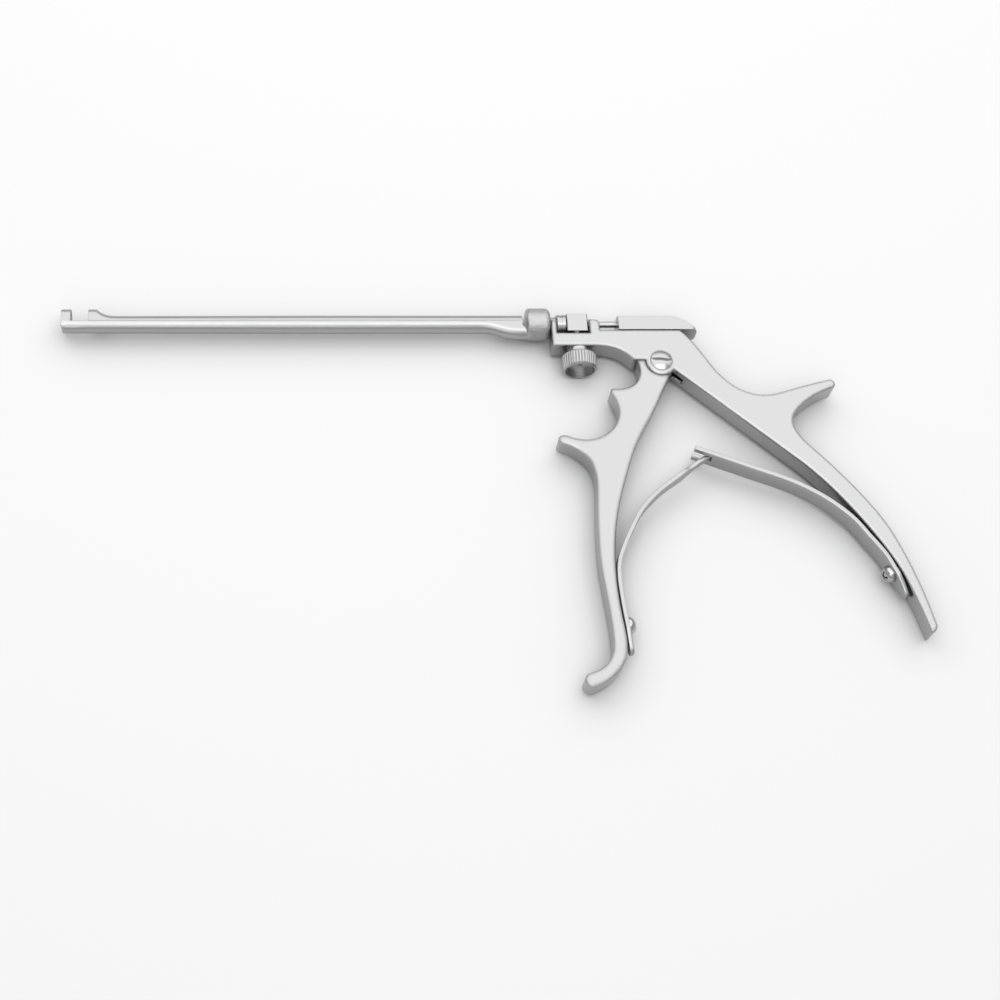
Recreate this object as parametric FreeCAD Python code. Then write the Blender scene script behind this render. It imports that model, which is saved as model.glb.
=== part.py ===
import FreeCAD, Part

# Pistol-grip bone punch with a turning shaft, lying on its side.
# Drawing axes, in millimetres: X runs along the shaft with the jaws at -X,
# Y points from the handles towards the slider, and Z is the instrument's thickness.
# X = Y = Z = 0 is the pivot's axis in the middle of the thickness.

import math
import os

V = FreeCAD.Vector

# Frame: body, rear handle and front handle share one plate thickness
THICKNESS = 9.0
HALF = THICKNESS / 2.0
EDGE_ROUND = 0.55           # bevel along the rims of the body and the handles
RUN = 0.05                  # radial running clearance of turning and sliding fits
GAP = 0.1                   # face clearance between pieces that slide past each other

# Shaft and jaws
AXIS_Y = 18.1               # height of the shaft's axis above the pivot
FOOT_X = -223.9             # outer face of the upturned foot
FOOT_THICK = 3.4
FOOT_RISE = 6.1             # top of the foot above the shaft's axis
JAW_OPEN = 6.5
TRAVEL = 6.4                # how far the cutter, the rod and the slider move
TIP_R = 3.2                 # shaft radius at the jaws
SHAFT_R = 3.45              # shaft radius from TAPER_END on
TAPER_END = -132.0
HEAD_FLAT = 2.8             # flat top of the cutter's head
HEAD_RAMP = 7.0             # length of the concave ramp behind it
COLLAR_R = 6.2
COLLAR_LEN = 9.2
COLLAR_FRONT_ROUND = 1.1
COLLAR_BACK_ROUND = 2.0
COLLAR_STEPS = 5            # turned cone steps that round each rim of the collar
FLARE_LEN = 15.0            # length of the rail's step down to the collar's underside
FLARE_FLAT = 2.2            # level stretch of the flare in front of the collar
RAIL_RIB_W = 1.4            # T-shaped rib under the cutter, in a groove of the rail
RAIL_RIB_FOOT_W = 2.8
RAIL_RIB_NECK = 0.8
RAIL_RIB_FOOT = 0.8

# Turning bearing and its lock
BODY_LEFT = -41.1
POST_THICK = 2.1            # front post, against which the collar runs
POST_TOP = 17.8
WINDOW_FLOOR = 12.3
WINDOW_LEN = 12.6
REAR_POST_THICK = 4.0
REAR_POST_TOP = 18.2
POST_ROUND = 2.0
NECK_R = 2.7
TAIL_R = 2.0
RING_R = 3.8
RING_GROOVE = 0.25
EYE_LEN = 8.3               # eye block along the shaft
EYE_DEEP = 6.8              # eye block across the instrument
EYE_TOP = 21.0
EYE_BOTTOM = 13.7
EYE_ROUND = 0.8
STUD_R = 2.0
STUD_TIP_R = 0.8            # turned point in the middle of the stud's end
STUD_TIP = 0.4
NUT_R = 6.65
NUT_HUB_R = 4.3
NUT_TOP = 4.2
NUT_BOTTOM = -2.0
NUT_RECESS_R = 5.6
NUT_RECESS_DEEP = 2.2
NUT_FLUTES = 36
NUT_FLUTE_DEEP = 0.35
NUT_RIM = 0.6               # chamfer of the fluted rims

# Body and slider
BODY_BOTTOM = 6.7
BODY_TOP = 13.5
BODY_BACK = 8.5
SLIDER_FRONT = -15.1
SLIDER_BACK = 15.4
SLIDER_SIDE_TOP = 19.4
SLIDER_CROWN_TOP = 20.7
ROD_R = 1.2
ROD_SEAT = 6.0              # length of rod screwed into the slider
BUTTON_R = 1.9              # swivel button that pulls and pushes the cutter
BUTTON_LEN = 1.4
BUTTON_BACK = 3.6           # from the cutter's rear end to the button's rear face
GUIDE_NECK_W = 3.0          # T-shaped guide rib of the slider
GUIDE_FOOT_W = 5.4
GUIDE_NECK = 1.5
GUIDE_FOOT = 1.5
GUIDE_LEN = 12.0

# Pivot and handle tongue
LOBE_R = 6.0
PIVOT_R = 2.5
PIVOT_HEAD_R = 4.0
PIVOT_HEAD_SUNK = 1.3
PIVOT_DOME = 1.0
PIVOT_SLOT_W = 1.2
PIVOT_SLOT_DEEP = 1.3
TONGUE_W = 3.0
TONGUE_R = 5.7
NOSE_REACH = 15.6
NOSE_R = 2.4
SLOT_FRONT = -8.0           # milled slot of the body, for the tongue
SLOT_BACK = 8.2

# Leaf springs
SPRING_T = 1.6
SPRING_W = 9.0
FORK_SLOT_W = 4.0
FORK_SLOT_LEN = 8.6
FORK_CLEAR = 0.3
SPRING_TIP_W = 4.4
SPRING_WAIST_W = 5.8        # narrowest width of the front leaf
SPRING_SHOULDER_W = 7.0     # width of the front leaf beside the fork
SCREW_HEAD_R = 3.3
SCREW_HEAD_H = 1.9
SCREW_SHANK_R = 1.5
SCREW_DEPTH = 3.6
CROSS_W = 0.7
CROSS_DEEP = 0.8

SWING = 2.0 * math.degrees(math.asin(TRAVEL / 2.0 / NOSE_REACH))


class Pen:
    """Draws a closed outline in the XY plane from lines, arcs and smooth curves."""

    def __init__(self, x, y):
        self.start = V(x, y, 0)
        self.here = self.start
        self.edges = []

    def line(self, x, y):
        end = V(x, y, 0)
        self.edges.append(Part.LineSegment(self.here, end).toShape())
        self.here = end
        return self

    def arc(self, mid, end):
        end = V(end[0], end[1], 0)
        self.edges.append(Part.Arc(self.here, V(mid[0], mid[1], 0), end).toShape())
        self.here = end
        return self

    def curve(self, *points):
        """Smooth run through points, as pairs of arcs that meet without a corner."""
        knots = [self.here] + [V(x, y, 0) for x, y in points]
        spline = Part.BSplineCurve()
        spline.interpolate(knots)
        ways = [spline.tangent(spline.parameter(k))[0] for k in knots]
        for k in range(len(knots) - 1):
            self.arc_pair(knots[k], ways[k], knots[k + 1], ways[k + 1])
        return self

    def arc_pair(self, start, way, end, end_way):
        """Two arcs from start to end that leave and arrive in the given directions."""
        step = end - start
        spread = 2.0 * (1.0 - way.dot(end_way))
        reach = step.dot(way + end_way)
        if spread > 1e-9:
            root = math.sqrt(reach * reach + spread * step.dot(step))
            leg = (root - reach) / spread
        else:
            leg = step.dot(step) / (2.0 * reach)
        middle = (start + end + (way - end_way) * leg) * 0.5
        self.tangent_arc(way, middle)
        chord = end - middle
        mirrored = chord * (2.0 * chord.dot(end_way) / chord.dot(chord)) - end_way
        self.tangent_arc(mirrored, end)

    def tangent_arc(self, way, end):
        """Arc from the pen's place to end that leaves in the given direction."""
        chord = end - self.here
        left = V(-chord.y, chord.x, 0)
        turn = math.atan2(left.dot(way), chord.dot(way))
        if abs(turn) < 1e-4:
            self.line(end.x, end.y)
            return
        bulge = self.here + chord * 0.5 + left * (0.5 * math.tan(turn / 2.0))
        self.arc((bulge.x, bulge.y), (end.x, end.y))

    def wire(self):
        if (self.here - self.start).Length > 1e-6:
            self.line(self.start.x, self.start.y)
        return Part.Wire(self.edges)

    def prism(self, low, high):
        face = Part.Face(self.wire())
        face.translate(V(0, 0, low))
        return face.extrude(V(0, 0, high - low))

    def inset(self, ease):
        """The outline moved inwards by ease, edge for edge, with its corners kept."""
        area = sum(e.Vertexes[0].X * e.Vertexes[-1].Y - e.Vertexes[-1].X * e.Vertexes[0].Y
                   for e in self.forward())
        side = ease if area > 0.0 else -ease
        edges = self.forward()

        def inward(edge, parameter):
            way = edge.tangentAt(parameter)
            return V(-way.y, way.x, 0) * side
        corners = []
        for k, edge in enumerate(edges):
            before = inward(edges[k - 1], edges[k - 1].LastParameter)
            after = inward(edge, edge.FirstParameter)
            mitre = (before + after) * (1.0 / (1.0 + before.dot(after) / side ** 2))
            corners.append(edge.valueAt(edge.FirstParameter) + mitre)
        moved = []
        for k, edge in enumerate(edges):
            start, end = corners[k], corners[(k + 1) % len(edges)]
            if isinstance(edge.Curve, Part.Circle):
                half_way = (edge.FirstParameter + edge.LastParameter) / 2.0
                middle = edge.valueAt(half_way) + inward(edge, half_way)
                moved.append(Part.Arc(start, middle, end).toShape())
            else:
                moved.append(Part.makeLine(start, end))
        return Part.Wire(moved)

    def forward(self):
        """The outline's edges, each running from its start to its end."""
        self.wire()
        return self.edges

    def eased_plate(self, ease):
        """Plate of full thickness whose two outer rims are bevelled by ease."""
        outer = self.wire()
        try:
            inner = outer.makeOffset2D(-ease, 0, False, False)
        except Exception:
            inner = self.inset(ease)
        if len(inner.Edges) != len(outer.Edges):
            inner = self.inset(ease)
        solid = self.prism(ease - HALF, HALF - ease)
        for side in (-1.0, 1.0):
            low = outer.copy()
            low.translate(V(0, 0, side * (HALF - ease)))
            high = inner.copy()
            high.translate(V(0, 0, side * HALF))
            solid = solid.fuse(Part.makeLoft([low, high], True, True))
        return solid


def polar(radius, degrees):
    """Point on a circle about the pivot."""
    turn = math.radians(degrees)
    return radius * math.cos(turn), radius * math.sin(turn)


def box(x0, x1, y0, y1, z0, z1):
    return Part.makeBox(x1 - x0, y1 - y0, z1 - z0, V(x0, y0, z0))


def slab(x0, x1, y0, y1, width):
    """Box centred on the instrument's middle plane."""
    return box(x0, x1, y0, y1, -width / 2.0, width / 2.0)


def rod_x(radius, x0, x1):
    """Cylinder about the shaft's axis."""
    return Part.makeCylinder(radius, x1 - x0, V(x0, AXIS_Y, 0), V(1, 0, 0))


def rod_y(radius, y0, y1, x):
    return Part.makeCylinder(radius, y1 - y0, V(x, y0, 0), V(0, 1, 0))


def rod_z(radius, z0, z1, x=0.0, y=0.0):
    return Part.makeCylinder(radius, z1 - z0, V(x, y, z0), V(0, 0, 1))


def turned(profile):
    """Solid of revolution about the shaft's axis from (x, radius) points."""
    points = [V(x, AXIS_Y + r, 0) for x, r in profile]
    points = [V(profile[0][0], AXIS_Y, 0)] + points + [V(profile[-1][0], AXIS_Y, 0)]
    face = Part.Face(Part.makePolygon(points + [points[0]]))
    return face.revolve(V(0, AXIS_Y, 0), V(1, 0, 0), 360)


# Stations along the shaft that several pieces share
COLLAR_BACK = BODY_LEFT - GAP
COLLAR_FRONT = COLLAR_BACK - COLLAR_LEN
WINDOW_FRONT = BODY_LEFT + POST_THICK
WINDOW_BACK = WINDOW_FRONT + WINDOW_LEN
REAR_POST_BACK = WINDOW_BACK + REAR_POST_THICK
EYE_BACK = WINDOW_BACK - 0.25
EYE_FRONT = EYE_BACK - EYE_LEN
EYE_X = (EYE_FRONT + EYE_BACK) / 2.0
RING_FRONT = WINDOW_FRONT + GAP
RING_BACK = EYE_FRONT - GAP
TAIL_END = REAR_POST_BACK - 0.6
FOOT_FACE = FOOT_X + FOOT_THICK
CUTTER_FRONT = FOOT_FACE + JAW_OPEN
CUTTER_BACK = COLLAR_FRONT - 1.5
SLIDER_BOTTOM = BODY_TOP + GAP
BUTTON_FRONT = CUTTER_BACK - BUTTON_BACK - BUTTON_LEN


def body():
    """Body, rear handle and thumb spur, forged and milled as one piece."""
    lobe_left = math.degrees(math.acos(0.5 / LOBE_R)) + 90.0
    pen = Pen(BODY_LEFT, POST_TOP)
    pen.line(WINDOW_FRONT, POST_TOP).line(WINDOW_FRONT, WINDOW_FLOOR)
    pen.line(WINDOW_BACK, WINDOW_FLOOR).line(WINDOW_BACK, REAR_POST_TOP)
    near = POST_ROUND * (1.0 - math.sqrt(0.5))
    pen.line(REAR_POST_BACK - POST_ROUND, REAR_POST_TOP)
    pen.arc((REAR_POST_BACK - near, REAR_POST_TOP - near),
            (REAR_POST_BACK, REAR_POST_TOP - POST_ROUND))
    pen.line(REAR_POST_BACK, BODY_TOP).line(BODY_BACK, BODY_TOP)
    pen.curve((12.7, 8.6), (17.0, 1.8), (21.8, -5.6), (29.9, -12.6), (38.5, -14.7),
              (48.7, -12.5), (58.5, -9.7), (63.6, -8.4))
    pen.arc((66.2, -9.6), (65.4, -11.8))
    pen.curve((59.5, -14.3), (52.2, -19.2), (47.9, -25.6), (50.0, -32.3), (54.2, -37.4),
              (61.2, -45.3), (71.2, -58.1), (77.8, -68.6), (82.7, -80.0), (86.8, -92.8),
              (90.2, -107.5))
    pen.arc((89.9, -110.6), (87.9, -111.9))
    pen.curve((85.2, -101.4), (79.9, -86.2), (72.4, -72.6), (65.2, -62.0), (57.2, -51.9),
              (48.0, -42.4))
    lobe_right = polar(LOBE_R, -40.0)
    pen.line(*lobe_right)
    pen.arc(polar(LOBE_R, -110.0), polar(LOBE_R, lobe_left))
    pen.line(-10.7, 0.5)
    pen.curve((-12.3, 2.3), (-15.3, 4.6), (-19.3, 6.1), (-25.1, BODY_BOTTOM))
    pen.line(BODY_LEFT, BODY_BOTTOM)
    solid = pen.eased_plate(EDGE_ROUND)

    slot_w = TONGUE_W + 2.0 * GAP
    solid = solid.cut(slab(SLOT_FRONT, SLOT_BACK, -12.0, BODY_TOP + 1.0, slot_w))
    guide_front = SLIDER_FRONT + 1.0 - TRAVEL - 0.5
    neck_bottom = BODY_TOP - GUIDE_NECK + GAP
    solid = solid.cut(slab(guide_front, 20.0, neck_bottom - 1.0, BODY_TOP + 1.0, slot_w))
    foot_bottom = BODY_TOP - GUIDE_NECK - GUIDE_FOOT
    solid = solid.cut(slab(guide_front, 20.0, foot_bottom, neck_bottom, GUIDE_FOOT_W + 2.0 * GAP))

    for radius, x0, x1 in ((NECK_R + RUN, BODY_LEFT - 1.0, WINDOW_FRONT + 1.0),
                           (TAIL_R + RUN, WINDOW_BACK - 1.0, REAR_POST_BACK + 1.0)):
        saddle = slab(x0, x1, AXIS_Y, AXIS_Y + 6.0, 2.0 * radius)
        solid = solid.cut(rod_x(radius, x0, x1).fuse(saddle))
    solid = solid.cut(rod_y(STUD_R + RUN, BODY_BOTTOM - 1.0, WINDOW_FLOOR + 1.0, EYE_X))

    solid = solid.cut(rod_z(PIVOT_R, -HALF - 1.0, HALF + 1.0))
    solid = solid.cut(rod_z(PIVOT_HEAD_R + RUN, HALF - PIVOT_HEAD_SUNK, HALF + 1.0))
    place, along = rear_screw_place()
    return solid.cut(screw_hole(place, along))


def front_handle():
    """Finger-rest handle with a thin tongue that turns in the body's slot."""
    shoulder_y = 0.5 - 2.0 * GAP
    inner_r = LOBE_R + 1.5 * GAP
    left = math.degrees(math.acos(shoulder_y / inner_r)) + 90.0
    pen = Pen(-9.3, shoulder_y)
    pen.line(*polar(inner_r, left))
    pen.arc(polar(inner_r, -120.0), polar(inner_r, -64.0))
    pen.curve((1.9, -7.8), (-0.5, -12.6), (-3.4, -18.6), (-6.9, -25.0), (-12.6, -35.2),
              (-16.9, -46.2), (-21.4, -60.5), (-24.1, -75.0), (-24.8, -88.0), (-24.0, -102.0),
              (-23.1, -113.0), (-24.4, -119.9), (-30.3, -126.6), (-34.9, -129.0),
              (-36.7, -129.4), (-38.5, -128.5), (-39.2, -126.7), (-38.6, -124.9),
              (-36.9, -124.0), (-32.6, -122.2), (-28.9, -117.6), (-28.0, -109.0),
              (-28.9, -97.0), (-30.1, -84.0), (-30.1, -70.0), (-29.3, -57.0), (-29.0, -47.8),
              (-31.0, -41.3), (-35.6, -36.9), (-39.9, -34.9), (-41.3, -34.2), (-41.8, -33.0),
              (-41.3, -31.8), (-40.0, -31.3), (-36.0, -32.3), (-30.8, -33.1), (-25.2, -31.7),
              (-20.6, -27.9), (-18.2, -22.4), (-18.9, -17.2), (-20.5, -13.5), (-20.5, -12.6),
              (-19.9, -12.0), (-18.9, -11.9), (-15.2, -11.7), (-11.4, -10.0), (-9.1, -6.6),
              (-8.7, -2.9), (-9.3, shoulder_y))
    solid = pen.eased_plate(EDGE_ROUND)

    lean = 90.0 - SWING / 2.0
    nose = polar(NOSE_REACH, lean)
    arm = Pen(*polar(4.9, lean + 50.0))
    arm.line(*polar(4.9, lean - 50.0))
    arm.line(*polar(12.6, lean - 7.6)).line(*polar(15.4, lean - 6.2))
    arm.line(*polar(15.4, lean + 6.2)).line(*polar(12.6, lean + 7.6))
    half_w = TONGUE_W / 2.0
    tongue = arm.prism(-half_w, half_w)
    tongue = tongue.fuse(rod_z(TONGUE_R, -half_w, half_w))
    tongue = tongue.fuse(rod_z(NOSE_R, -half_w, half_w, nose[0], nose[1]))
    tongue = tongue.fuse(slab(-4.0, 0.4, -9.0, 0.0, TONGUE_W))
    solid = solid.fuse(tongue).removeSplitter()
    solid = solid.cut(rod_z(PIVOT_R + RUN, -HALF, HALF))
    place, along = front_screw_place()
    return solid.cut(screw_hole(place, along))


def pivot_screw():
    """Slotted domed screw that carries both handles."""
    seat = HALF - PIVOT_HEAD_SUNK
    rise = PIVOT_DOME
    ball = (PIVOT_HEAD_R ** 2 + rise ** 2) / (2.0 * rise)
    dome = Part.makeSphere(ball, V(0, 0, HALF + rise - ball))
    head = rod_z(PIVOT_HEAD_R, seat, HALF + rise).common(dome.fuse(rod_z(20.0, seat, HALF)))
    slot = slab(-6.0, 6.0, -PIVOT_SLOT_W / 2.0, PIVOT_SLOT_W / 2.0, 2.0)
    slot.translate(V(0, 0, HALF + rise - PIVOT_SLOT_DEEP + 1.0))
    slot.rotate(V(0, 0, 0), V(0, 0, 1), -6.0)
    return head.fuse(rod_z(PIVOT_R, -HALF, seat)).cut(slot).removeSplitter()


def slider_block():
    """Crowned block that carries the handle's push to the rod."""
    crown = SLIDER_CROWN_TOP
    side = Pen(SLIDER_FRONT, SLIDER_BOTTOM)
    side.line(SLIDER_FRONT, crown).line(1.8, crown)
    side.curve((4.5, 20.1), (7.2, 19.0), (9.4, 18.1), (11.3, 17.0), (13.0, 15.7), (14.4, 14.5),
               (SLIDER_BACK, SLIDER_BOTTOM))
    solid = side.prism(-HALF, HALF)

    plan_r = 2.5
    plan = slab(SLIDER_FRONT, SLIDER_BACK - plan_r, SLIDER_BOTTOM, crown, THICKNESS)
    for z in (-HALF + plan_r, HALF - plan_r):
        plan = plan.fuse(Part.makeCylinder(plan_r, crown - SLIDER_BOTTOM,
                                           V(SLIDER_BACK - plan_r, SLIDER_BOTTOM, z), V(0, 1, 0)))
    plan = plan.fuse(slab(0, SLIDER_BACK, SLIDER_BOTTOM, crown, 2.0 * (HALF - plan_r)))
    solid = solid.common(plan)

    rise = crown - SLIDER_SIDE_TOP
    arch = (HALF ** 2 + rise ** 2) / (2.0 * rise)
    tunnel = Part.makeCylinder(arch, 60.0, V(-30.0, crown - arch, 0), V(1, 0, 0))
    solid = solid.common(tunnel)

    rib_front = SLIDER_FRONT + 1.0
    rib_back = rib_front + GUIDE_LEN
    neck_bottom = BODY_TOP - GUIDE_NECK
    solid = solid.fuse(slab(rib_front, rib_back, neck_bottom, SLIDER_BOTTOM, GUIDE_NECK_W))
    foot_bottom = neck_bottom - GUIDE_FOOT + GAP
    solid = solid.fuse(slab(rib_front, rib_back, foot_bottom, neck_bottom, GUIDE_FOOT_W))

    nose_x = NOSE_REACH * math.sin(math.radians(SWING / 2.0))
    nose_y = NOSE_REACH + NOSE_R + 0.3
    half_slot = NOSE_R + RUN
    slot = slab(nose_x - half_slot, nose_x + half_slot, SLIDER_BOTTOM - 1.0, nose_y,
                TONGUE_W + 2.0 * GAP)
    solid = solid.cut(slot)
    return solid.cut(rod_x(ROD_R, SLIDER_FRONT - 1.0, SLIDER_FRONT + ROD_SEAT)).removeSplitter()


def drive_rod():
    """Rod from the slider to the cutter, with a button that lets the shaft turn round it."""
    stem = rod_x(ROD_R, BUTTON_FRONT, SLIDER_FRONT + ROD_SEAT)
    return stem.fuse(rod_x(BUTTON_R, BUTTON_FRONT, BUTTON_FRONT + BUTTON_LEN)).removeSplitter()


def stadium(x0, x1, radius, low, high):
    """Round-ended upright section between two heights, along the shaft."""
    solid = slab(x0, x1, low + radius, high - radius, 2.0 * radius)
    for y in (low + radius, high - radius):
        end = Part.makeCylinder(radius, x1 - x0, V(x0, y, 0), V(1, 0, 0))
        solid = solid.fuse(end)
    return solid


def shaft_blank(x0, x1):
    """Round tapered bar that the rail and the cutter share."""
    def radius(x):
        share = (x - FOOT_X) / (TAPER_END - FOOT_X)
        return TIP_R + (SHAFT_R - TIP_R) * min(1.0, share)
    stations = [x0, x1]
    if x0 < TAPER_END < x1:
        stations.insert(1, TAPER_END)
    return turned([(x, radius(x)) for x in stations])


def rib(clear):
    """T-shaped rib under the cutter, or its groove when clear is more than zero."""
    x0 = CUTTER_FRONT + 3.0 - (TRAVEL + 0.5 if clear else 0.0)
    x1 = CUTTER_BACK - 16.0 + (TRAVEL if clear else 0.0)
    neck = slab(x0, x1, AXIS_Y - RAIL_RIB_NECK - clear, AXIS_Y + 0.5, RAIL_RIB_W + 2.0 * clear)
    foot_top = AXIS_Y - RAIL_RIB_NECK + clear
    foot_low = AXIS_Y - RAIL_RIB_NECK - RAIL_RIB_FOOT - clear
    return neck.fuse(slab(x0, x1, foot_low, foot_top, RAIL_RIB_FOOT_W + 2.0 * clear))


def flare():
    """Keel that steps the rail down to the collar: a bar bent both ways, with a web above it."""
    drop = COLLAR_R - 0.05 - SHAFT_R
    half_len = FLARE_LEN / 2.0
    bend_r = (half_len ** 2 + (drop / 2.0) ** 2) / drop
    sweep = math.degrees(math.asin(half_len / bend_r))
    x1 = COLLAR_FRONT - FLARE_FLAT
    x0 = x1 - FLARE_LEN
    low = AXIS_Y - drop
    first = Part.Face(Part.Wire([Part.makeCircle(SHAFT_R, V(x0, AXIS_Y, 0), V(1, 0, 0))]))
    first = first.revolve(V(x0, AXIS_Y - bend_r, 0), V(0, 0, 1), -sweep)
    second = Part.Face(Part.Wire([Part.makeCircle(SHAFT_R, V(x1, low, 0), V(1, 0, 0))]))
    second = second.revolve(V(x1, low + bend_r, 0), V(0, 0, 1), -sweep)
    level = Part.makeCylinder(SHAFT_R, FLARE_FLAT + 3.0, V(x1, low, 0), V(1, 0, 0))

    turn = math.radians(sweep / 2.0)
    side = bend_r * math.sin(turn)
    fall = bend_r * (1.0 - math.cos(turn))
    web = Pen(x0, AXIS_Y)
    web.arc((x0 + side, AXIS_Y - fall), (x0 + half_len, AXIS_Y - drop / 2.0))
    web.arc((x1 - side, low + fall), (x1, low))
    web.line(COLLAR_FRONT + 3.0, low).line(COLLAR_FRONT + 3.0, AXIS_Y)
    skirt = turned([(x1 - 1.4, SHAFT_R), (COLLAR_FRONT - 1.6, 4.0), (COLLAR_FRONT - 0.6, 4.7),
                    (COLLAR_FRONT + 0.3, 5.6), (COLLAR_FRONT + 1.2, COLLAR_R - 0.02)])
    solid = first.fuse(second).fuse(level).fuse(web.prism(-SHAFT_R, SHAFT_R))
    return solid.fuse(skirt)


def rounded_rim(x, radius, way):
    """Points of a rounded rim of the collar, from its face at x to its side."""
    points = []
    for k in range(COLLAR_STEPS + 1):
        turn = math.radians(90.0 * k / COLLAR_STEPS)
        points.append((x + way * radius * (1.0 - math.cos(turn)),
                       COLLAR_R - radius * (1.0 - math.sin(turn))))
    return points


def shaft_rail():
    """Lower jaw: foot, grooved rail, collar, bearing neck and tail in one piece."""
    below = slab(FOOT_X - 1.0, COLLAR_BACK, AXIS_Y - 20.0, AXIS_Y, 40.0)
    rail = shaft_blank(FOOT_X, COLLAR_FRONT + 1.0).common(below)

    low = AXIS_Y - TIP_R
    foot = stadium(FOOT_X, FOOT_FACE, TIP_R, low, AXIS_Y + FOOT_RISE)
    dish_r = 5.0
    dish = Part.makeSphere(dish_r, V(FOOT_FACE + dish_r - 0.9, AXIS_Y + 3.2, 0))
    foot = foot.cut(dish)
    toe_r = 1.9
    toe = box(FOOT_X - 1.0, FOOT_X + toe_r, low - 1.0, low + toe_r, -5.0, 5.0)
    toe = toe.cut(Part.makeCylinder(toe_r, 10.0, V(FOOT_X + toe_r, low + toe_r, -5.0)))
    foot_top = AXIS_Y + FOOT_RISE
    cap_r = 1.5
    cap = box(FOOT_X - 1.0, FOOT_X + cap_r, foot_top - cap_r, foot_top + 1.0, -5.0, 5.0)
    cap = cap.cut(Part.makeCylinder(cap_r, 10.0, V(FOOT_X + cap_r, foot_top - cap_r, -5.0)))
    rail = rail.fuse(foot).cut(toe).cut(cap)

    rail = rail.fuse(flare().common(below))

    front = rounded_rim(COLLAR_FRONT, COLLAR_FRONT_ROUND, 1.0)
    back = rounded_rim(COLLAR_BACK, COLLAR_BACK_ROUND, -1.0)
    collar = turned(front + back[::-1])
    neck = turned([(COLLAR_BACK - 1.0, NECK_R), (RING_FRONT, NECK_R), (RING_FRONT, TAIL_R),
                   (TAIL_END, TAIL_R)])
    solid = rail.fuse(collar).fuse(neck)

    channel_end = COLLAR_FRONT - 6.5 - TRAVEL - BUTTON_LEN - 0.5
    solid = solid.cut(rod_x(BUTTON_R + GAP, channel_end, COLLAR_FRONT + 2.0))
    solid = solid.cut(rod_x(ROD_R + RUN, COLLAR_FRONT, TAIL_END + 1.0))
    return solid.cut(rib(GAP)).removeSplitter()


def bow(x, low, centre):
    """Upright section of the cutter's head: straight sides under a half circle."""
    shoulder = [V(x, centre, -TIP_R), V(x, centre, TIP_R)]
    arch = Part.Arc(shoulder[0], V(x, centre + TIP_R, 0), shoulder[1]).toShape()
    feet = [V(x, low, -TIP_R), V(x, low, TIP_R)]
    sides = [Part.makeLine(feet[0], shoulder[0]), arch, Part.makeLine(shoulder[1], feet[1]),
             Part.makeLine(feet[1], feet[0])]
    return Part.Wire(sides)


def upper_cutter():
    """Sliding upper half of the shaft, with the raised hollow-ground head."""
    split = AXIS_Y + RUN
    above = slab(CUTTER_FRONT, CUTTER_BACK, split, AXIS_Y + 20.0, 40.0)
    solid = shaft_blank(CUTTER_FRONT, CUTTER_BACK).common(above)

    top = AXIS_Y + FOOT_RISE
    flat_end = CUTTER_FRONT + HEAD_FLAT
    head = stadium(CUTTER_FRONT, flat_end, TIP_R, AXIS_Y - TIP_R, top).common(above)
    fall = FOOT_RISE - TIP_R
    bows = [bow(flat_end + along * HEAD_RAMP, AXIS_Y - 0.5, AXIS_Y + (1.0 - down) * fall)
            for along, down in ((0.0, 0.0), (0.2, 0.42), (0.4, 0.7), (0.65, 0.9), (1.0, 1.0))]
    ramp = Part.makeLoft(bows, True, True).common(above)
    solid = solid.fuse(head.fuse(ramp))

    scoop_r = 1.9
    scoop = stadium(CUTTER_FRONT - 1.0, CUTTER_FRONT + 2.4, scoop_r, AXIS_Y + 0.9, top - 1.2)
    solid = solid.cut(scoop)
    solid = solid.fuse(rib(0.0))
    pocket = rod_x(BUTTON_R + RUN, BUTTON_FRONT - RUN, BUTTON_FRONT + BUTTON_LEN + RUN)
    stem = rod_x(ROD_R + RUN, BUTTON_FRONT, CUTTER_BACK + 1.0)
    return solid.cut(pocket).cut(stem).removeSplitter()


def ring_nut():
    """Grooved ring that holds the shaft against the front post."""
    ring = turned([(RING_FRONT, RING_R - 0.5), (RING_FRONT + 0.5, RING_R),
                   (RING_BACK - 0.3, RING_R), (RING_BACK, RING_R - 0.3)])
    middle = (RING_FRONT + RING_BACK) / 2.0
    groove_w = 1.1
    groove = rod_x(RING_R + 1.0, middle - groove_w / 2.0, middle + groove_w / 2.0)
    groove = groove.cut(rod_x(RING_R - RING_GROOVE, middle - groove_w, middle + groove_w))
    return ring.cut(groove).cut(rod_x(TAIL_R, RING_FRONT - 1.0, RING_BACK + 1.0))


def eye_bolt():
    """Block with a cross bore for the tail, and a stud that goes down to the lock nut."""
    block = slab(EYE_FRONT, EYE_BACK, EYE_BOTTOM, EYE_TOP, EYE_DEEP)
    upright = [e for e in block.Edges if abs(e.tangentAt(e.FirstParameter).y) > 0.9]
    block = block.makeFillet(EYE_ROUND, upright)
    stud_end = NUT_BOTTOM + NUT_RECESS_DEEP
    solid = block.fuse(rod_y(STUD_R, stud_end, EYE_BOTTOM + 0.2, EYE_X))
    solid = solid.fuse(rod_y(STUD_TIP_R, stud_end - STUD_TIP, stud_end + 0.2, EYE_X))
    return solid.cut(rod_x(TAIL_R + RUN, EYE_FRONT - 1.0, EYE_BACK + 1.0)).removeSplitter()


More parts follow.
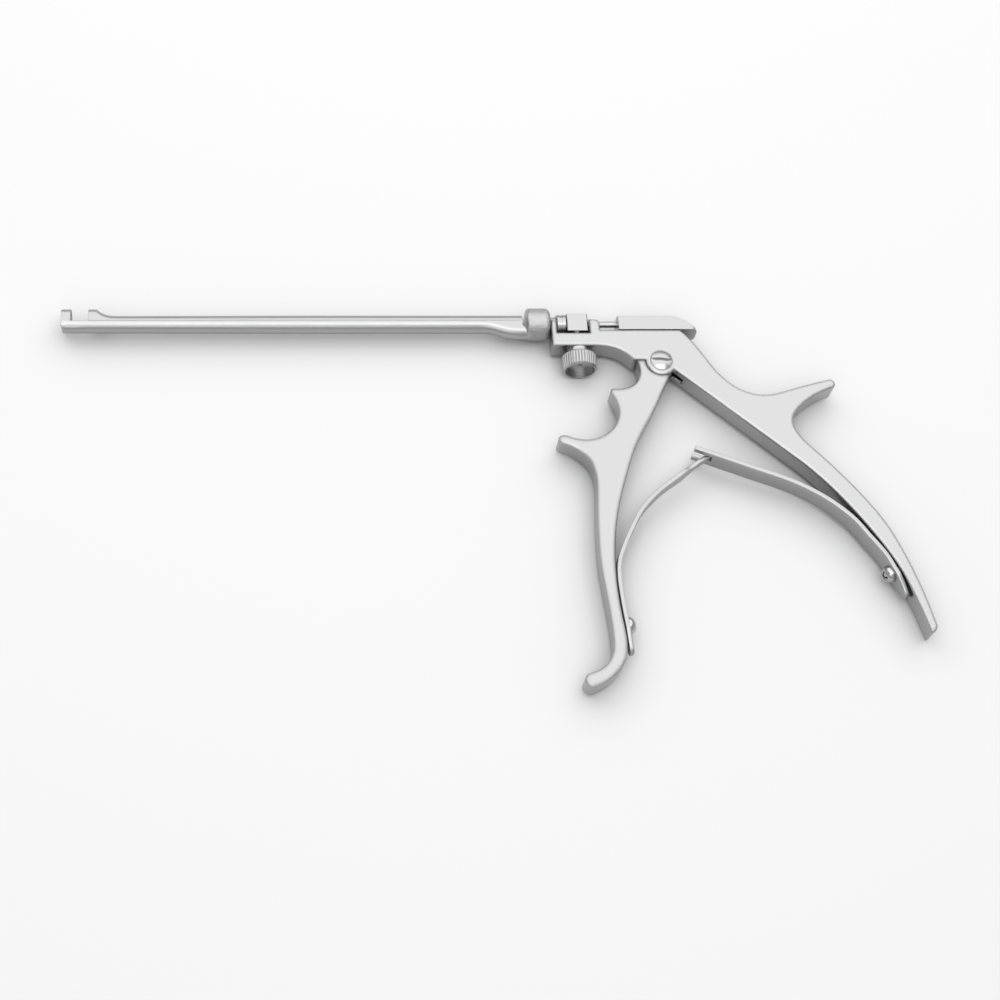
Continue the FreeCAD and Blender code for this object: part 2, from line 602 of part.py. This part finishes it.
def lock_nut():
    """Fluted thumb nut with a hub and a hollow end."""
    disc = rod_y(NUT_R, NUT_BOTTOM, NUT_TOP, EYE_X)
    rims = [e for e in disc.Edges if e.Curve.TypeId == "Part::GeomCircle"]
    disc = disc.makeChamfer(NUT_RIM, rims)
    corners = []
    for i in range(NUT_FLUTES):
        for share, radius in ((0.0, NUT_R - NUT_FLUTE_DEEP), (0.3, NUT_R + 0.1), (0.7, NUT_R + 0.1)):
            turn = 2.0 * math.pi * (i + share) / NUT_FLUTES
            corners.append(V(EYE_X + radius * math.cos(turn), NUT_BOTTOM,
                             radius * math.sin(turn)))
    star = Part.Face(Part.makePolygon(corners + corners[:1]))
    solid = disc.common(star.extrude(V(0, NUT_TOP - NUT_BOTTOM, 0)))
    solid = solid.fuse(rod_y(NUT_HUB_R, NUT_TOP - 0.5, BODY_BOTTOM - RUN, EYE_X))
    recess_top = NUT_BOTTOM + NUT_RECESS_DEEP
    solid = solid.cut(rod_y(NUT_RECESS_R, NUT_BOTTOM - 1.0, recess_top, EYE_X))
    return solid.cut(rod_y(STUD_R + RUN, NUT_BOTTOM, BODY_BOTTOM, EYE_X)).removeSplitter()


def strap(points, side):
    """Leaf spring: a smooth run of points thickened to one side, as a prism."""
    curve = Part.BSplineCurve()
    curve.interpolate([V(x, y, 0) for x, y in points])
    count = 3 * len(points)
    first, last = curve.FirstParameter, curve.LastParameter
    back = []
    for i in range(count + 1):
        at = first + (last - first) * i / count
        along = curve.tangent(at)[0]
        back.append(curve.value(at) + V(-along.y, along.x, 0) * (side * SPRING_T))
    other = Part.BSplineCurve()
    other.interpolate(back)
    edges = [curve.toShape(), Part.LineSegment(curve.EndPoint, other.EndPoint).toShape(),
             other.toShape(), Part.LineSegment(other.StartPoint, curve.StartPoint).toShape()]
    face = Part.Face(Part.Wire(Part.__sortEdges__(edges)))
    face.translate(V(0, 0, -SPRING_W / 2.0))
    return face.extrude(V(0, 0, SPRING_W))


# Outer side of each leaf spring, from its screwed root to the meeting point
REAR_LEAF = ((81.6, -97.0), (80.9, -91.8), (79.0, -86.4), (76.2, -80.2), (71.4, -73.1),
             (65.6, -65.1), (56.4, -57.0), (45.0, -50.3), (30.0, -44.2), (16.2, -38.7),
             (9.4, -36.1))
FRONT_LEAF = ((-21.2, -118.2), (-22.4, -112.0), (-23.3, -105.6), (-24.1, -97.0), (-24.5, -88.0),
              (-23.7, -81.2), (-21.1, -74.6), (-18.0, -68.4), (-13.4, -60.5), (-5.8, -52.6),
              (3.4, -45.8), (11.2, -40.0), (16.6, -37.2))


def place_on(points, index, side):
    """Middle of a leaf's outer side at one of its points, and the direction out through it."""
    before, here, after = (V(x, y, 0) for x, y in points[index - 1:index + 2])
    along = (after - before).normalize()
    through = V(-along.y, along.x, 0) * side
    return here, through


def rear_screw_place():
    return place_on(REAR_LEAF, 2, 1.0)


def front_screw_place():
    return place_on(FRONT_LEAF, 2, -1.0)


def screw_hole(place, through):
    """Threaded hole in a handle under a leaf spring, and the leaf's own hole."""
    return Part.makeCylinder(SCREW_SHANK_R, SCREW_DEPTH + SPRING_T + 1.2,
                             place + through * (SPRING_T + 1.0), through * -1.0)


def head_seat(place, through):
    """Flat faced on a bent leaf for its screw's head."""
    return Part.makeCylinder(SCREW_HEAD_R + GAP, 4.0, place + through * SPRING_T, through)


def tapered_tip(solid, points, reach):
    """Narrows a leaf from its screw to its free root end."""
    end = V(points[0][0], points[0][1], 0)
    screw = V(points[2][0], points[2][1], 0)
    down = (end - screw).normalize()
    across = V(-down.y, down.x, 0)
    start = screw + down * reach
    for sign in (-1.0, 1.0):
        outer = sign * (SPRING_W / 2.0 + 1.0)
        corners = [start + V(0, 0, sign * SPRING_W / 2.0),
                   end + down * 1.0 + V(0, 0, sign * SPRING_TIP_W / 2.0),
                   end + down * 1.0 + V(0, 0, outer), start + V(0, 0, outer)]
        wedge = Part.Face(Part.makePolygon([c - across * 6.0 for c in corners + corners[:1]]))
        solid = solid.cut(wedge.extrude(across * 12.0))
    return solid


def rear_spring():
    """Leaf spring on the rear handle, forked where the springs meet."""
    solid = strap(REAR_LEAF, 1.0)
    solid = tapered_tip(solid, REAR_LEAF, 3.4)
    tip_x, tip_y = REAR_LEAF[-1]
    slot = slab(tip_x - 4.0, tip_x + FORK_SLOT_LEN, tip_y - 8.0, tip_y + 6.0, FORK_SLOT_W)
    place, through = rear_screw_place()
    solid = solid.cut(slot).cut(screw_hole(place, through))
    return solid.cut(head_seat(place, through))


def front_spring():
    """Leaf spring on the front handle, with a tongue that hooks into the fork."""
    solid = strap(FRONT_LEAF, -1.0)
    solid = tapered_tip(solid, FRONT_LEAF, 3.4)
    neck_x = REAR_LEAF[-1][0] - 3.4
    tongue = FORK_SLOT_W / 2.0 - FORK_CLEAR
    full = SPRING_W / 2.0
    waist = SPRING_WAIST_W / 2.0
    for sign in (-1.0, 1.0):
        beside = Pen(-24.0, sign * full)
        beside.curve((-17.0, sign * 0.89 * full), (-9.0, sign * 1.1 * waist),
                     (-2.0, sign * waist), (neck_x, sign * SPRING_SHOULDER_W / 2.0))
        beside.line(neck_x, sign * tongue).line(30.0, sign * tongue)
        beside.line(30.0, sign * 6.0).line(-24.0, sign * 6.0)
        cutter = beside.prism(0.0, 60.0)
        cutter.rotate(V(0, 0, 0), V(1, 0, 0), 90.0)
        solid = solid.cut(cutter.translate(V(0, -26.0, 0)))
    place, through = front_screw_place()
    return solid.cut(screw_hole(place, through)).cut(head_seat(place, through))


def spring_screw(place, through):
    """Cross-recess dome-head screw that clamps a leaf spring to its handle."""
    seat = place + through * SPRING_T
    rim = 0.5
    ball = (SCREW_HEAD_R ** 2 + (SCREW_HEAD_H - rim) ** 2) / (2.0 * (SCREW_HEAD_H - rim))
    head = Part.makeCylinder(SCREW_HEAD_R, SCREW_HEAD_H, seat, through)
    dome = Part.makeSphere(ball, seat + through * (SCREW_HEAD_H - ball))
    flat = Part.makeCylinder(SCREW_HEAD_R, rim, seat, through)
    head = head.common(dome.fuse(flat))
    shank = Part.makeCylinder(SCREW_SHANK_R, SCREW_DEPTH + SPRING_T, seat, through * -1.0)
    solid = head.fuse(shank)
    for turn in (45.0, 135.0):
        arm = Part.makeBox(2.0 * 1.9, CROSS_W, 2.0, V(-1.9, -CROSS_W / 2.0, 0))
        arm.rotate(V(0, 0, 0), V(0, 0, 1), turn)
        arm.Placement = FreeCAD.Placement(
            seat + through * (SCREW_HEAD_H - CROSS_DEEP),
            FreeCAD.Rotation(V(0, 0, 1), through)).multiply(arm.Placement)
        solid = solid.cut(arm)
    return solid.removeSplitter()


def rear_spring_screw():
    return spring_screw(*rear_screw_place())


def front_spring_screw():
    return spring_screw(*front_screw_place())


NODES = {
    "body_rear_handle": body,
    "front_handle": front_handle,
    "pivot_screw": pivot_screw,
    "slider_block": slider_block,
    "drive_rod": drive_rod,
    "shaft_rail": shaft_rail,
    "upper_cutter": upper_cutter,
    "ring_nut": ring_nut,
    "eye_bolt": eye_bolt,
    "lock_nut": lock_nut,
    "rear_spring": rear_spring,
    "front_spring": front_spring,
    "rear_spring_screw": rear_spring_screw,
    "front_spring_screw": front_spring_screw,
}


def base_point(shapes):
    """Bottom centre of the whole instrument's box, which becomes the origin."""
    whole = shapes[0].optimalBoundingBox(False, False)
    for shape in shapes[1:]:
        whole.add(shape.optimalBoundingBox(False, False))
    return V((whole.XMin + whole.XMax) / 2.0, (whole.YMin + whole.YMax) / 2.0, whole.ZMin)


def main():
    os.makedirs("parts", exist_ok=True)
    shapes = {name: make() for name, make in NODES.items()}
    origin = base_point(list(shapes.values()))
    print("origin in drawing axes", round(origin.x, 4), round(origin.y, 4), round(origin.z, 4))
    for name, shape in shapes.items():
        shape.translate(origin * -1.0)
        print(name, shape.isValid(), len(shape.Solids), round(shape.Volume, 2))
        shape.exportStep(os.path.join("parts", name + ".step"))


main()
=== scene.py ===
import math

import bmesh
import bpy
from mathutils import Matrix, Vector


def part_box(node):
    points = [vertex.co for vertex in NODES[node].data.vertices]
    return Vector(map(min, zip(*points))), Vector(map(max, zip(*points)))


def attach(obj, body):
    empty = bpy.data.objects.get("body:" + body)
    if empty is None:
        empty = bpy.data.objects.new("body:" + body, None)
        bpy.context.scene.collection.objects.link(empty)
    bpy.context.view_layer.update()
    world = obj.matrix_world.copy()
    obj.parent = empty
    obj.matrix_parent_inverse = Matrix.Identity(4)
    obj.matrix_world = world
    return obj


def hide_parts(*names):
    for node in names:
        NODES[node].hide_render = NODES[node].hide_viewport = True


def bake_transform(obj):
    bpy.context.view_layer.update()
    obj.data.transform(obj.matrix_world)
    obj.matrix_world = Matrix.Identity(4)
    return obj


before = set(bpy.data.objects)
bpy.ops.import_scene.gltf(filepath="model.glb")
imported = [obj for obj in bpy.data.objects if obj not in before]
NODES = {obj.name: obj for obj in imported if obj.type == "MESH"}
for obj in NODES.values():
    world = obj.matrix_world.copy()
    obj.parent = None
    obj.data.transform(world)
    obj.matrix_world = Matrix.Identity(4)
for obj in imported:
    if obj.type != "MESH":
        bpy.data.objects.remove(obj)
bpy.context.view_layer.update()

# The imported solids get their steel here. The leaf springs and their two small screws are
# drawn anew, because the leaves bend between the handles.
# Drawing axes, in millimetres: X runs along the shaft with the jaws at -X, Y points from
# the handles towards the slider, and Z is the instrument's thickness.

MM = 0.001
HALF_THICKNESS = 4.5

# The pivot's axis in the middle of the thickness is the drawing's origin.
_low, _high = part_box("pivot_screw")
PIVOT = Vector(((_low[0] + _high[0]) / 2.0, (_low[1] + _high[1]) / 2.0,
                _low[2] + HALF_THICKNESS * MM))


def at(x, y, z=0.0):
    """Point in the row frame from drawing coordinates in millimetres."""
    return PIVOT + Vector((x, y, z)) * MM


def link_mesh(name, mesh):
    """New object in the scene that shows a mesh."""
    thing = bpy.data.objects.new(name, mesh)
    bpy.context.scene.collection.objects.link(thing)
    return thing


# Camera

CAMERA_SENSOR = 36.0
CAMERA_LENS = 65.09
CAMERA_PLACE = (-140.3, -329.8, 593.9)
CAMERA_RIGHT = (0.9933, -0.0585, 0.0998)
CAMERA_FORWARD = (0.1151, 0.4165, -0.9018)
PICTURE_SIZE = 1000


def add_camera():
    data = bpy.data.cameras.new("camera")
    data.sensor_width = CAMERA_SENSOR
    data.lens = CAMERA_LENS
    camera = bpy.data.objects.new("camera", data)
    bpy.context.scene.collection.objects.link(camera)
    right = Vector(CAMERA_RIGHT).normalized()
    forward = Vector(CAMERA_FORWARD).normalized()
    up = right.cross(forward).normalized()
    turn = Matrix((right, up, -forward)).transposed().to_4x4()
    camera.matrix_world = Matrix.Translation(at(*CAMERA_PLACE)) @ turn
    bpy.context.scene.camera = camera
    bpy.context.scene.render.resolution_x = PICTURE_SIZE
    bpy.context.scene.render.resolution_y = PICTURE_SIZE


# Materials. Noise scales count per metre, and bump distances are metres.

STEEL_GREY = (0.38, 0.38, 0.382)
FORGED_GREY = (0.38, 0.38, 0.381)
STAIN_SCALE = 60.0
ROUGH_SPREAD = 0.1          # share by which the stains vary the roughness
BEVEL_SAMPLES = 4
BLAST_DEPTH = 0.00006
STREAK_LONG = 60.0          # noise scale along the streaks
STREAK_ACROSS = 2600.0
STREAK_DEPTH = 0.00004
MATT_ROUGH = 0.42
GRAIN_SCALE = 2000.0        # coarse blasting of the matt zone
GRAIN_STRENGTH = 0.8
GRAIN_DEPTH = 0.0003
COLLAR_FRONT = -49.6        # the shaft is blasted matt from here on
COLLAR_FADE = 0.7

# Sockets of the Mix node: the factor, the two numbers or colours, and their results
MIX_FACTOR, NUMBER_A, NUMBER_B, COLOUR_A, COLOUR_B = 0, 2, 3, 6, 7
NUMBER_OUT, COLOUR_OUT = 0, 2


def noise(nodes, links, vector, scale, detail):
    """Output of a noise texture read at the given vector."""
    texture = nodes.new("ShaderNodeTexNoise")
    texture.inputs["Scale"].default_value = scale
    texture.inputs["Detail"].default_value = detail
    links.new(vector, texture.inputs["Vector"])
    return texture.outputs["Fac"]


def add_bump(nodes, links, normal, height, strength, distance):
    """Normal that a bump of the given height adds to another normal."""
    bump = nodes.new("ShaderNodeBump")
    bump.inputs["Strength"].default_value = strength
    bump.inputs["Distance"].default_value = distance
    links.new(height, bump.inputs["Height"])
    links.new(normal, bump.inputs["Normal"])
    return bump.outputs["Normal"]


def matt_zone(nodes, links, place, ends):
    """Mask along X that rises from 0 to 1 between the two ends."""
    split = nodes.new("ShaderNodeSeparateXYZ")
    links.new(place, split.inputs[0])
    rise = nodes.new("ShaderNodeMapRange")
    rise.inputs["From Min"].default_value = ends[0]
    rise.inputs["From Max"].default_value = ends[1]
    links.new(split.outputs["X"], rise.inputs["Value"])
    return rise.outputs["Result"]


def steel(name, rough, grey=STEEL_GREY, blast=0.0, blast_scale=6.0, streak=0.0,
          streak_axis="X", stain=0.025, bevel=0.25, matt=None):
    """Stainless steel with its own grain: fine blasted pits, brushed streaks, faint stains.

    blast_scale counts the pits per millimetre, and bevel is the edges' radius in millimetres.
    matt gives two X places in metres: the steel turns blasted matt between them and stays so.
    """
    mat = bpy.data.materials.new(name)
    mat.use_nodes = True
    nodes = mat.node_tree.nodes
    links = mat.node_tree.links
    shader = nodes["Principled BSDF"]
    shader.inputs["Metallic"].default_value = 1.0
    place = nodes.new("ShaderNodeTexCoord").outputs["Object"]

    cloud = noise(nodes, links, place, STAIN_SCALE, 4.0)
    tint = nodes.new("ShaderNodeMix")
    tint.data_type = "RGBA"
    tint.inputs[COLOUR_A].default_value = tuple(c * (1.0 - stain) for c in grey) + (1.0,)
    tint.inputs[COLOUR_B].default_value = tuple(c * (1.0 + stain) for c in grey) + (1.0,)
    links.new(cloud, tint.inputs[MIX_FACTOR])
    links.new(tint.outputs[COLOUR_OUT], shader.inputs["Base Color"])

    rub = nodes.new("ShaderNodeMapRange")
    rub.inputs["From Min"].default_value = 0.3
    rub.inputs["From Max"].default_value = 0.7
    rub.inputs["To Min"].default_value = rough * (1.0 - ROUGH_SPREAD)
    rub.inputs["To Max"].default_value = rough * (1.0 + ROUGH_SPREAD)
    links.new(cloud, rub.inputs["Value"])
    roughness = rub.outputs["Result"]
    if matt:
        zone = matt_zone(nodes, links, place, matt)
        dull = nodes.new("ShaderNodeMix")
        dull.inputs[NUMBER_B].default_value = MATT_ROUGH
        links.new(zone, dull.inputs[MIX_FACTOR])
        links.new(roughness, dull.inputs[NUMBER_A])
        roughness = dull.outputs[NUMBER_OUT]
    links.new(roughness, shader.inputs["Roughness"])

    round_off = nodes.new("ShaderNodeBevel")
    round_off.samples = BEVEL_SAMPLES
    round_off.inputs["Radius"].default_value = bevel * MM
    normal = round_off.outputs["Normal"]
    if blast:
        pits = noise(nodes, links, place, blast_scale / MM, 2.0)
        normal = add_bump(nodes, links, normal, pits, blast, BLAST_DEPTH)
    if streak:
        squeeze = nodes.new("ShaderNodeMapping")
        squeeze.inputs["Scale"].default_value = [
            STREAK_LONG if axis == streak_axis else STREAK_ACROSS for axis in "XYZ"]
        links.new(place, squeeze.inputs["Vector"])
        lines = noise(nodes, links, squeeze.outputs["Vector"], 1.0, 3.0)
        normal = add_bump(nodes, links, normal, lines, streak, STREAK_DEPTH)
    if matt:
        deep = nodes.new("ShaderNodeMath")
        deep.operation = "MULTIPLY"
        links.new(noise(nodes, links, place, GRAIN_SCALE, 2.0), deep.inputs[0])
        links.new(zone, deep.inputs[1])
        normal = add_bump(nodes, links, normal, deep.outputs["Value"], GRAIN_STRENGTH,
                          GRAIN_DEPTH)
    links.new(normal, shader.inputs["Normal"])
    return mat


def dress(name, mat):
    """Gives a carried-over node its material."""
    mesh = NODES[name].data
    mesh.materials.clear()
    mesh.materials.append(mat)
    for face in mesh.polygons:
        face.material_index = 0


def dress_all():
    forged = steel("forged_satin", 0.25, grey=FORGED_GREY, blast=0.35, blast_scale=4.0,
                   bevel=1.3)
    grip = steel("grip_satin", 0.25, grey=FORGED_GREY, blast=0.35, blast_scale=4.0,
                 bevel=2.0)
    collar = at(COLLAR_FRONT, 0.0).x
    shaft = steel("shaft_satin", 0.34, streak=0.25, bevel=0.35,
                  matt=(collar, collar + COLLAR_FADE * MM))
    block = steel("slider_satin", 0.32, blast=0.2, blast_scale=5.0)
    turned = steel("turned_steel", 0.28, streak=0.2, streak_axis="Y", bevel=0.1)
    fluted = steel("fluted_steel", 0.30, bevel=0.3)
    spring = steel("leaf_steel", 0.36, blast=0.15, blast_scale=5.0, bevel=0.3)
    bolt = steel("screw_steel", 0.26, blast=0.08, bevel=0.1)
    dome = steel("dome_steel", 0.16, grey=(0.42, 0.42, 0.422), stain=0.02, bevel=0.05)
    for name, mat in (("body_rear_handle", forged), ("front_handle", grip),
                      ("slider_block", block), ("drive_rod", turned), ("shaft_rail", shaft),
                      ("upper_cutter", shaft), ("ring_nut", turned), ("eye_bolt", turned),
                      ("lock_nut", fluted), ("pivot_screw", bolt),
                      ("rear_spring_screw", bolt), ("front_spring_screw", bolt)):
        dress(name, mat)
    add_leaves(spring)
    add_spring_screws(dome)


# Leaf springs, drawn as bending pieces. Each run of points lies on the face towards the
# leaf's own handle and starts at the leaf's loose lower end.

LEAF_THICK = 1.6
LEAF_HALF = 4.5             # half of the leaves' full width
LEAF_STEPS = 6              # rows of points between two points of a run
LEAF_CORNER = 0.6           # edges that turn by more than this, in radians, are rounded
LEAF_ROUND = 0.22
LEAF_SHARP = 35.0
REAR_LEAF = ((83.0, -96.4), (81.3, -91.6), (79.0, -86.4), (76.2, -80.2), (71.4, -73.1),
             (65.6, -65.1), (56.4, -57.0), (45.0, -50.3), (30.0, -44.2), (16.2, -38.7),
             (9.4, -36.1))
FRONT_LEAF = ((-21.9, -116.4), (-22.6, -111.6), (-23.3, -105.6), (-24.1, -97.0),
              (-24.5, -88.0), (-23.7, -81.2), (-21.1, -74.6), (-18.0, -68.4),
              (-13.4, -60.5), (-5.8, -52.6), (3.4, -45.8), (11.2, -40.0), (16.6, -37.2))
FORK_LONG = 9.2


def smooth_run(points, steps):
    """Points along a smooth curve through the given ones, and each one's direction."""
    pts = [Vector((x, y)) for x, y in points]
    pts = [pts[0] * 2.0 - pts[1]] + pts + [pts[-1] * 2.0 - pts[-2]]
    run = []
    for k in range(1, len(pts) - 2):
        p0, p1, p2, p3 = pts[k - 1:k + 3]
        for j in range(steps):
            t = j / steps
            a = p1 * 2.0
            b = (p2 - p0) * t
            c = (p0 * 2.0 - p1 * 5.0 + p2 * 4.0 - p3) * t * t
            d = (p1 * 3.0 - p0 - p2 * 3.0 + p3) * t ** 3
            run.append((a + b + c + d) * 0.5)
    run.append(pts[-2])
    ways = []
    for k in range(len(run)):
        ways.append((run[min(k + 1, len(run) - 1)] - run[max(k - 1, 0)]).normalized())
    return run, ways


def leaf(name, points, side, half_width, fork, mat):
    """Bent strip of spring steel, whose middle is cut out as a fork over its last stretch.

    Each row across the strip has four pairs of points, so a strip is three bands wide.
    half_width gives half the strip's width and half its middle band's at a length.
    """
    run, ways = smooth_run(points, LEAF_STEPS)
    total = [0.0]
    for k in range(1, len(run)):
        total.append(total[-1] + (run[k] - run[k - 1]).length)
    bm = bmesh.new()
    rows = []
    for k, here in enumerate(run):
        half, inner = half_width(total[k], total[-1])
        over = Vector((-ways[k].y, ways[k].x)) * side * LEAF_THICK
        row = []
        for z in (-half, -inner, inner, half):
            low = bm.verts.new(at(here.x, here.y, z))
            high = bm.verts.new(at(here.x + over.x, here.y + over.y, z))
            row.append((low, high))
        rows.append(row)
    last = len(rows) - 2

    def there(k, band):
        in_fork = band == 1 and total[k] >= total[-1] - fork
        return 0 <= k <= last and 0 <= band <= 2 and not in_fork
    for k in range(last + 1):
        for band in range(3):
            if not there(k, band):
                continue
            a, b = rows[k][band], rows[k][band + 1]
            c, d = rows[k + 1][band + 1], rows[k + 1][band]
            bm.faces.new((a[0], b[0], c[0], d[0]))
            bm.faces.new((a[1], d[1], c[1], b[1]))
            if not there(k - 1, band):
                bm.faces.new((a[0], a[1], b[1], b[0]))
            if not there(k + 1, band):
                bm.faces.new((d[0], c[0], c[1], d[1]))
            if not there(k, band - 1):
                bm.faces.new((a[0], d[0], d[1], a[1]))
            if not there(k, band + 1):
                bm.faces.new((b[0], b[1], c[1], c[0]))
    loose = [v for v in bm.verts if not v.link_faces]
    bmesh.ops.delete(bm, geom=loose, context="VERTS")
    bmesh.ops.recalc_face_normals(bm, faces=bm.faces)
    corners = [e for e in bm.edges
               if len(e.link_faces) == 2 and e.calc_face_angle() > LEAF_CORNER]
    bmesh.ops.bevel(bm, geom=corners, offset=LEAF_ROUND * MM, segments=2, profile=0.5,
                    affect="EDGES", clamp_overlap=True)
    thing = link_mesh(name, closed_mesh(name, bm, LEAF_SHARP))
    thing.data.materials.append(mat)
    return thing


def closed_mesh(name, bm, sharp_degrees):
    """Smooth mesh with sharp corners from the faces built so far, which are then freed."""
    for face in bm.faces:
        face.smooth = True
    mesh = bpy.data.meshes.new(name)
    bm.to_mesh(mesh)
    bm.free()
    mesh.set_sharp_from_angle(angle=math.radians(sharp_degrees))
    return mesh


def ramp(x, stops):
    """Value at x on a run of straight lines through (place, value) stops."""
    for (x0, v0), (x1, v1) in zip(stops, stops[1:]):
        if x <= x1:
            share = max(0.0, (x - x0) / (x1 - x0))
            return v0 + share * (v1 - v0)
    return stops[-1][1]


def rear_half(s, total):
    """Half widths of the rear leaf: a tapered end, then full width up to the fork."""
    half = ramp(s, ((0.0, 1.4), (1.0, 2.1), (8.4, LEAF_HALF), (total, LEAF_HALF)))
    return half, min(2.0, half * 0.8)


def front_half(s, total):
    """Half widths of the front leaf: a tapered end, a waist, and the narrow tongue."""
    half = ramp(s, ((0.0, 1.2), (1.0, 2.1), (8.6, LEAF_HALF), (42.0, 4.4), (58.0, 3.3),
                    (72.0, 2.9), (total - 15.0, 3.3), (total - 11.4, 1.7), (total, 1.7)))
    return half, half * 0.5


def add_leaves(mat):
    rear = leaf("rear_leaf", REAR_LEAF, 1.0, rear_half, FORK_LONG, mat)
    front = leaf("front_leaf", FRONT_LEAF, -1.0, front_half, 0.0, mat)
    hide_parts("rear_spring")
    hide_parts("front_spring")
    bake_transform(rear)
    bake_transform(front)


# Spring screws, with high domed heads and a cross recess

SCREW_R = 3.3
SCREW_RIM = 0.4
SCREW_HIGH = 3.0
SCREW_RINGS = 22
SCREW_SPOKES = 72
SCREW_SHARP = 38.0
SHANK_R = 1.5
SHANK_LONG = 5.2
CROSS_HALF = 0.38
CROSS_REACH = 1.8
CROSS_FLOOR = 1.9
CROSS_TURN = 45.0
REAR_SCREW = ((79.0, -86.4), (-0.9268, -0.3755))        # place, and the way out of the leaf
FRONT_SCREW = ((-23.3, -105.6), (0.9936, 0.1126))


def head_point(out, turn):
    """Height of the domed head at a distance from its axis, sunk inside the cross recess."""
    u = abs(out * math.cos(turn - math.radians(CROSS_TURN)))
    v = abs(out * math.sin(turn - math.radians(CROSS_TURN)))
    dome = math.sqrt(max(0.0, 1.0 - (out / SCREW_R) ** 2))
    high = SCREW_RIM + (SCREW_HIGH - SCREW_RIM) * dome
    inside = min(u, v) < CROSS_HALF and max(u, v) < CROSS_REACH
    return min(high, CROSS_FLOOR) if inside else high


def spring_screw(name, node, body, place, through, mat):
    """Screw whose head sits on the leaf at place and whose shank goes into the handle."""
    out_way = Vector((through[0], through[1], 0.0)).normalized()
    side = Vector((0.0, 0.0, 1.0))
    over = out_way.cross(side)
    seat = Vector((place[0], place[1], 0.0)) + out_way * LEAF_THICK
    turns = [2.0 * math.pi * j / SCREW_SPOKES for j in range(SCREW_SPOKES)]
    bm = bmesh.new()

    def vertex(radius, turn, high):
        spot = seat + side * radius * math.cos(turn) + over * radius * math.sin(turn)
        return bm.verts.new(at(*(spot + out_way * high)))
    top = vertex(0.0, 0.0, head_point(0.0, 0.0))
    loops = []
    for k in range(1, SCREW_RINGS + 1):
        radius = SCREW_R * math.sin(math.radians(90.0 * k / SCREW_RINGS))
        loops.append([vertex(radius, turn, head_point(radius, turn)) for turn in turns])
    for radius, high in ((SCREW_R, 0.0), (SHANK_R, 0.0), (SHANK_R, -SHANK_LONG)):
        loops.append([vertex(radius, turn, high) for turn in turns])
    for j in range(SCREW_SPOKES):
        i = (j + 1) % SCREW_SPOKES
        bm.faces.new((top, loops[0][j], loops[0][i]))
        for ring, lower in zip(loops, loops[1:]):
            bm.faces.new((ring[j], lower[j], lower[i], ring[i]))
    bm.faces.new(loops[-1])
    bmesh.ops.recalc_face_normals(bm, faces=bm.faces)
    thing = link_mesh(name, closed_mesh(name, bm, SCREW_SHARP))
    thing.data.materials.append(mat)
    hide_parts(node)
    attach(thing, body)


def add_spring_screws(mat):
    spring_screw("rear_leaf_screw", "rear_spring_screw", "frame", *REAR_SCREW, mat)
    spring_screw("front_leaf_screw", "front_spring_screw", "handle", *FRONT_SCREW, mat)


# Floor, background and lamps, in metres and watts

FLOOR_HALF = 3.0
FLOOR_DROP = 0.0002
FLOOR_GREY = 0.63
WORLD_STRENGTH = 0.6
LAMPS = (                   # name, place, target, size, power
    ("rear_panel", (0.0, 1.2, 1.0), (0.0, 1.2, 0.0), (3.0, 2.1), 28.5),
    ("middle_panel", (0.05, -0.2, 1.01), (0.05, -0.2, 0.0), (1.1, 0.6), 5.0),
    ("front_panel", (-0.3, -0.78, 0.88), (-0.1, 0.0, 0.0), (0.9, 0.5), 1.8))


def add_stage():
    mesh = bpy.data.meshes.new("floor")
    corners = [(x * FLOOR_HALF, y * FLOOR_HALF, 0.0) for x, y in
               ((-1, -1), (1, -1), (1, 1), (-1, 1))]
    mesh.from_pydata(corners, [], [(0, 1, 2, 3)])
    floor = link_mesh("floor", mesh)
    floor.location.z = -FLOOR_DROP
    mat = bpy.data.materials.new("floor_white")
    mat.use_nodes = True
    shader = mat.node_tree.nodes["Principled BSDF"]
    shader.inputs["Base Color"].default_value = (FLOOR_GREY, FLOOR_GREY, FLOOR_GREY, 1.0)
    shader.inputs["Roughness"].default_value = 0.95
    shader.inputs["Specular IOR Level"].default_value = 0.0
    mesh.materials.append(mat)

    world = bpy.data.worlds.new("studio")
    world.use_nodes = True
    back = world.node_tree.nodes["Background"]
    back.inputs["Color"].default_value = (1.0, 1.0, 1.0, 1.0)
    back.inputs["Strength"].default_value = WORLD_STRENGTH
    bpy.context.scene.world = world


def add_lamp(name, place, target, size, power):
    data = bpy.data.lights.new(name, "AREA")
    data.shape = "RECTANGLE"
    data.size, data.size_y = size
    data.energy = power
    lamp = bpy.data.objects.new(name, data)
    lamp.location = place
    way = Vector(target) - Vector(place)
    lamp.rotation_euler = way.to_track_quat("-Z", "Y").to_euler()
    bpy.context.scene.collection.objects.link(lamp)


bpy.context.scene.cycles.caustics_reflective = False
bpy.context.scene.view_settings.view_transform = "Standard"
add_camera()
dress_all()
add_stage()
for lamp_row in LAMPS:
    add_lamp(*lamp_row)
